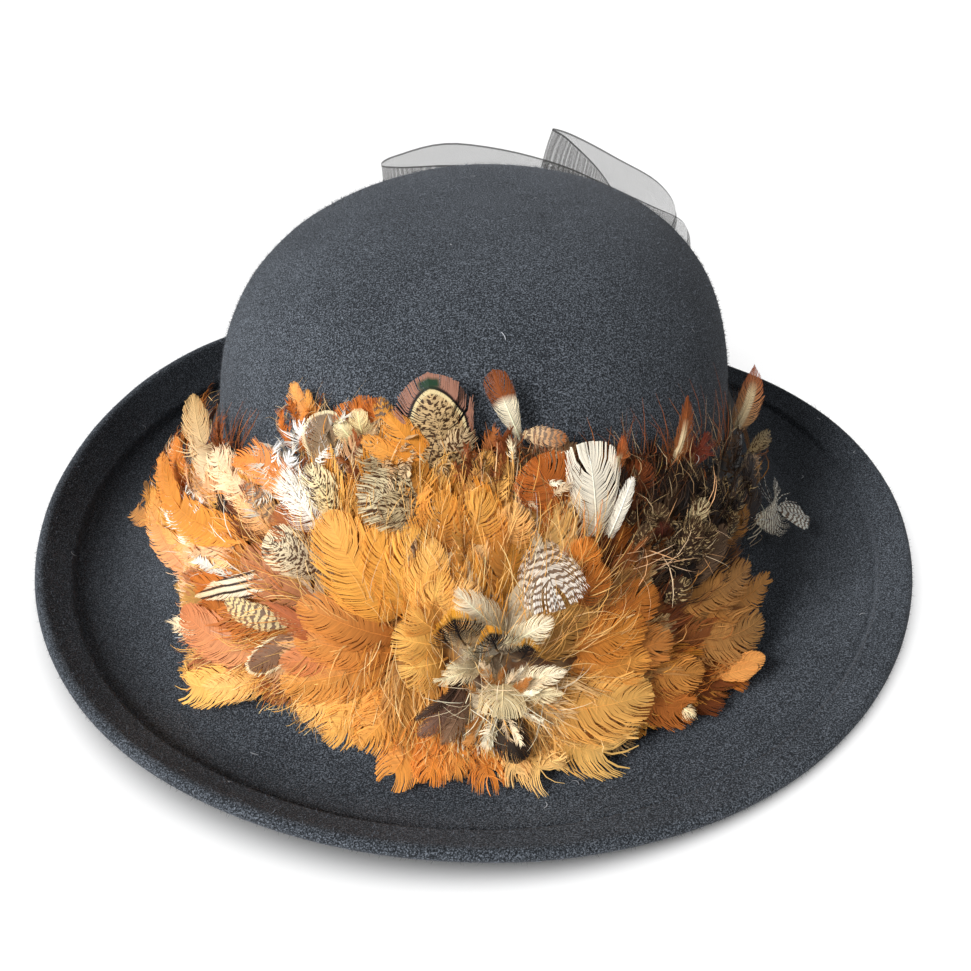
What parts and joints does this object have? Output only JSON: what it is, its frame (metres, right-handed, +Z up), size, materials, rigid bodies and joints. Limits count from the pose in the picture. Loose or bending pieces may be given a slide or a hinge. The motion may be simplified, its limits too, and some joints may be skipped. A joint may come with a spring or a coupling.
{
  "type": "feathered felt hat",
  "caption": "Felt hat with a round crown and an upturned stitched brim, a net bow at the back and a wide pad of pheasant and cock feathers over the front.",
  "frame": {"origin": "on the table under the middle of the brim", "axes": "+X towards the wearer's left, +Y towards the back of the head, +Z up through the crown"},
  "size_m": [0.3034, 0.3149, 0.1188],
  "materials": {
    "felt": "matte charcoal wool felt with a short nap",
    "crin": "black open-woven horsehair braid",
    "cock_feathers": "golden orange to rust cock hackles",
    "pheasant_feathers": "speckled brown and cream pheasant feathers",
    "pale_feathers": "cream and grey barred feathers"
  },
  "bodies": {
    "root": {"felt_body": "felt", "crin_band": "crin", "crin_knot": "crin", "crin_loop_left": "crin", "crin_loop_right": "crin", "feather_pad": "cock_feathers", "feather_pheasant_front": "pheasant_feathers", "feather_pheasant_left": "pheasant_feathers", "feather_barred_left": "pheasant_feathers", "feather_salmon_left": "cock_feathers", "feather_gold_front": "cock_feathers", "feather_gold_left": "cock_feathers", "feather_buff_left": "cock_feathers", "feather_rust_front": "cock_feathers", "feather_white_fan": "pale_feathers", "feather_barred_front": "pale_feathers", "feather_white_top": "pale_feathers", "feather_barred_right": "pheasant_feathers"}
  },
  "joints": []
}
